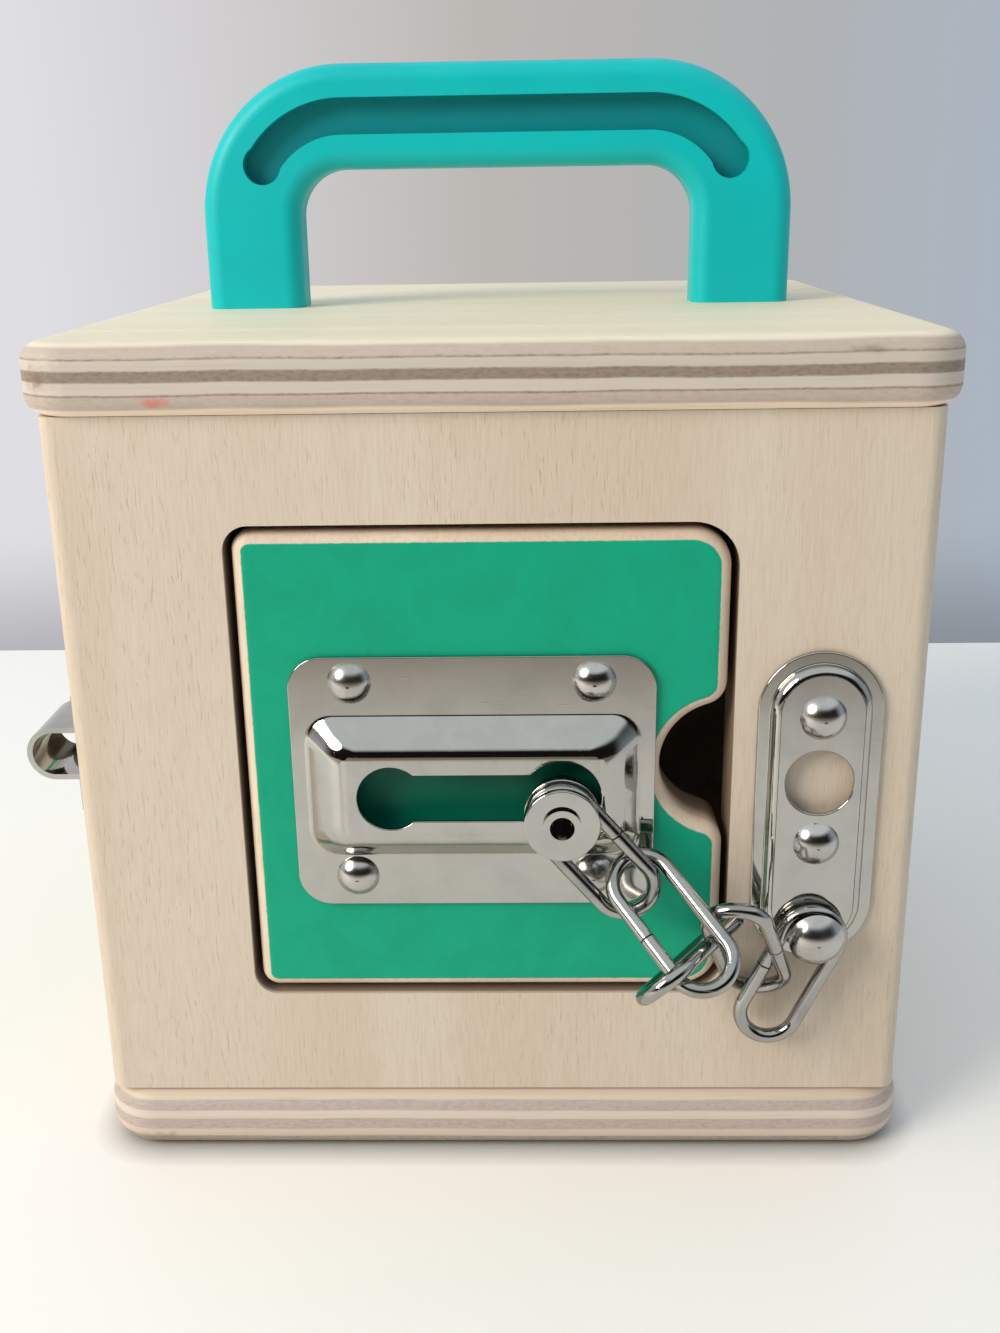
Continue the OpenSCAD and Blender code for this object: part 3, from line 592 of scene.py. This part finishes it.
def cutCrown(piece, values, outline):                                       # rings along the edge of the raised flat
    left, right, low, high = outline
    for step in range(1, values["crownCuts"] + 1):
        inset = values["crownReach"] * step / values["crownCuts"]
        for x in (left + inset, right - inset):
            cutFaces(piece, crownFaces(piece.data, values), (x, 0, 0), (1, 0, 0))
        for z in (low + inset, high - inset):
            cutFaces(piece, crownFaces(piece.data, values), (0, 0, z), (0, 0, 1))


def bendSlope(piece, values):
    mesh = piece.data
    rise = values["crown"] - values["foot"]
    for cut in range(1, values["cuts"]):
        level = values["foot"] + rise * cut / values["cuts"]
        cutFaces(piece, slopeFaces(mesh, values), (0, level, 0), (0, 1, 0))
    crownShare, crownReach = values["crownShare"], values.get("crownReach", 0)
    if crownReach:
        outline = boxOf(cornersOf(mesh, crownFaces(mesh, values)))
        cutCrown(piece, values, outline)
    slopes = cornersOf(mesh, slopeFaces(mesh, values))
    flats = cornersOf(mesh, crownFaces(mesh, values))
    left, right, low, high = boxOf(slopes)
    shares = {}
    for i, corner in slopes.items():
        share = min(1.0, max(0.0, (corner.y - values["foot"]) / rise))
        out = values["footOut"] * (1 - share) - values["crownIn"] * share
        corner.x += out * (2 * corner.x - left - right) / (right - left)
        corner.z += out * (2 * corner.z - low - high) / (high - low)
        shares[i] = share * crownShare
    if crownReach:
        for i in flats.keys() - slopes.keys():
            inside = insideBy(flats[i], outline, values["crownR"]) / crownReach
            shares[i] = crownShare + (1 - crownShare) * min(1.0, max(0.0, inside))
    for i, share in shares.items():
        bent = bentShare(share, values["footBend"], values["crownBend"])
        mesh.vertices[i].co.y = values["foot"] + rise * bent


def pressedCopy(node, values):
    bpy.ops.object.select_all(action="DESELECT")
    piece = bpy.data.objects.new(values["name"], nodes[node].data.copy())
    bpy.context.scene.collection.objects.link(piece)
    piece.select_set(True)
    bpy.context.view_layer.objects.active = piece
    bpy.ops.object.mode_set(mode="EDIT")
    bpy.ops.mesh.select_mode(type="FACE")
    bpy.ops.mesh.select_all(action="SELECT")
    bpy.ops.mesh.remove_doubles(threshold=meshWork["weld"])
    bpy.ops.mesh.dissolve_limited(angle_limit=math.radians(meshWork["flat"]))
    bpy.ops.mesh.select_all(action="DESELECT")
    bpy.ops.object.mode_set(mode="OBJECT")
    if "slope" in values:
        bendSlope(piece, values["slope"])
    rim = piece.modifiers.new("rim", "BEVEL")
    rim.width = values["rim"]
    rim.segments = meshWork["rimSteps"]
    rim.limit_method = "ANGLE"
    rim.angle_limit = math.radians(meshWork["rimAngle"])
    rim.use_clamp_overlap = False
    bpy.ops.object.modifier_apply(modifier="rim")
    bpy.ops.object.shade_smooth()
    piece.modifiers.new("even", "WEIGHTED_NORMAL")                          # flats stay flat between the bends
    bpy.ops.object.modifier_apply(modifier="even")
    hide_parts(node)
    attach(piece, values["body"])


for node, values in pressedSheet.items():
    pressedCopy(node, values)
print("pressed metal made")

dowelWood = {
    "pale": screenColour(206, 178, 142),
    "warm": screenColour(190, 158, 120),
    "pore": screenColour(146, 112, 80),
    "rough": (0.5, 0.6),
}
dress(makePanelWood("dowelBirch", dowelWood, (0.7, 0.2, 0.1)), "top_dowels", "base_dowels")
print("dowels dressed")

table = {
    "wide": 2.4,
    "back": 0.245,
    "front": -1.2,
    "thick": 0.02,
    "colour": screenColour(249, 245, 237),
    "rough": 0.55,
    "shade": {"reach": 0.006, "depth": 0.70, "samples": 8},
    "mirrored": screenColour(150, 134, 118),
    "mirroredFrom": (-0.24, -0.46),
}


def makeTableWhite(values):
    material, tree, shader, coords = startMaterial("tableWhite")
    path = put(tree, "ShaderNodeLightPath")
    # painted shadow on the table's far front, seen only in reflections
    far = span(tree, axes(tree, coords)["Y"], *values["mirroredFrom"])
    far = math2(tree, "MULTIPLY", far, path.outputs["Is Glossy Ray"])
    colour = blendColour(tree, far, values["colour"], values["mirrored"])
    shade = values["shade"]                                                 # where the box stands
    foot = put(tree, "ShaderNodeAmbientOcclusion", {"samples": shade["samples"]}, {"Distance": shade["reach"]})
    tree.links.new(colour, foot.inputs["Color"])
    shaded = blendColour(tree, shade["depth"], colour, foot.outputs["Color"])
    tree.links.new(shaded, shader.inputs["Base Color"])
    shader.inputs["Roughness"].default_value = values["rough"]
    return material


def addTable(values):
    bpy.ops.object.select_all(action="DESELECT")
    bpy.ops.mesh.primitive_plane_add(size=1, location=(0, (values["back"] + values["front"]) / 2, 0))
    top = bpy.context.object
    top.name = "tableTop"
    top.scale = (values["wide"], values["back"] - values["front"], 1)
    bpy.ops.object.transform_apply(location=True, rotation=True, scale=True)
    bpy.ops.object.mode_set(mode="EDIT")
    bpy.ops.mesh.select_all(action="SELECT")
    bpy.ops.mesh.extrude_region_move(TRANSFORM_OT_translate={"value": (0, 0, -values["thick"])})
    bpy.ops.mesh.select_all(action="SELECT")
    bpy.ops.mesh.normals_make_consistent(inside=False)
    bpy.ops.object.mode_set(mode="OBJECT")
    top.data.materials.append(makeTableWhite(values))


addTable(table)

room = {
    "wall": ((0.0, (223, 222, 227)), (0.45, (188, 184, 180)), (0.75, (176, 178, 180)), (1.0, (171, 182, 194))),
    "wallWide": (-0.32, 0.32),
    "low": (-0.20, -0.30, 1.0, 0.60),
    "ground": screenColour(60, 54, 48),
    "groundFrom": (-0.4, -0.7),
    "lit": {
        "up": screenColour(212, 224, 236), "front": screenColour(66, 57, 50), "rise": (0.2, 0.6), "turn": (-0.1, -0.8),
    },
    "mirrored": {
        "up": screenColour(240, 249, 252), "front": screenColour(30, 26, 24), "rise": (0.42, 0.68), "turn": (-0.1, -0.6),
    },
    "strength": 1.0,
}


def roomView(tree, split, wall, values, view):
    level = blendColour(tree, span(tree, split["Y"], *view["turn"]), wall, view["front"])
    upper = blendColour(tree, span(tree, split["Z"], *view["rise"]), level, view["up"])
    return blendColour(tree, span(tree, split["Z"], *values["groundFrom"]), upper, values["ground"])


def addRoom(values):
    world = bpy.data.worlds.new("room")
    bpy.context.scene.world = world
    world.use_nodes = True
    tree = world.node_tree
    tree.nodes.clear()
    output = put(tree, "ShaderNodeOutputWorld")
    coords = put(tree, "ShaderNodeTexCoord")
    split = axes(tree, coords.outputs["Generated"])
    across = span(tree, split["X"], *values["wallWide"], smooth=False)
    wall = put(tree, "ShaderNodeVectorMath", {"operation": "SCALE"})
    tree.links.new(colourRamp(tree, across, values["wall"]), wall.inputs[0])    # lighter to the left
    tree.links.new(span(tree, split["Z"], *values["low"]), wall.inputs["Scale"])  # darker near the table
    views = [roomView(tree, split, wall.outputs["Vector"], values, values[key]) for key in ("lit", "mirrored")]
    path = put(tree, "ShaderNodeLightPath")
    light = put(tree, "ShaderNodeBackground", None, {"Strength": values["strength"]})
    tree.links.new(blendColour(tree, path.outputs["Is Glossy Ray"], *views), light.inputs["Color"])
    wire(tree, light, 0, output, "Surface")


addRoom(room)

windowLamp = {
    "place": (-1.0, -0.78, 0.78), "aim": (0, 0, 0.08), "size": 0.8, "power": 16.8, "colour": (1.0, 0.915, 0.82),
}


def addLamp(name, values):
    bpy.ops.object.select_all(action="DESELECT")
    bpy.ops.object.light_add(type="AREA", location=values["place"])
    lamp = bpy.context.object
    lamp.name = name
    lamp.data.shape = "DISK"
    lamp.data.size = values["size"]
    lamp.data.energy = values["power"]
    lamp.data.color = values["colour"]
    aim = Vector(values["aim"]) - lamp.location
    lamp.rotation_euler = aim.to_track_quat("-Z", "Y").to_euler()


addLamp("window", windowLamp)
print("stage lit")

cameraView = {
    "place": (0.006716, -0.308534, 0.174442), "lens": 38.17, "sensor": 36, "clip": 0.01,
    "down": 18.293, "left": 1.393, "roll": -0.874,
}


def addCamera(values):
    bpy.ops.object.select_all(action="DESELECT")
    bpy.ops.object.camera_add(location=values["place"])
    camera = bpy.context.object
    camera.name = "photoCamera"
    camera.data.lens = values["lens"]
    camera.data.sensor_width = values["sensor"]
    camera.data.clip_start = values["clip"]
    turn = Matrix.Identity(4)
    for angle, axis in ((values["left"], "Z"), (90 - values["down"], "X"), (values["roll"], "Z")):
        turn = turn @ Matrix.Rotation(math.radians(angle), 4, axis)
    camera.rotation_euler = turn.to_euler()
    bpy.context.scene.camera = camera


addCamera(cameraView)
bpy.context.scene.view_settings.view_transform = "Standard"
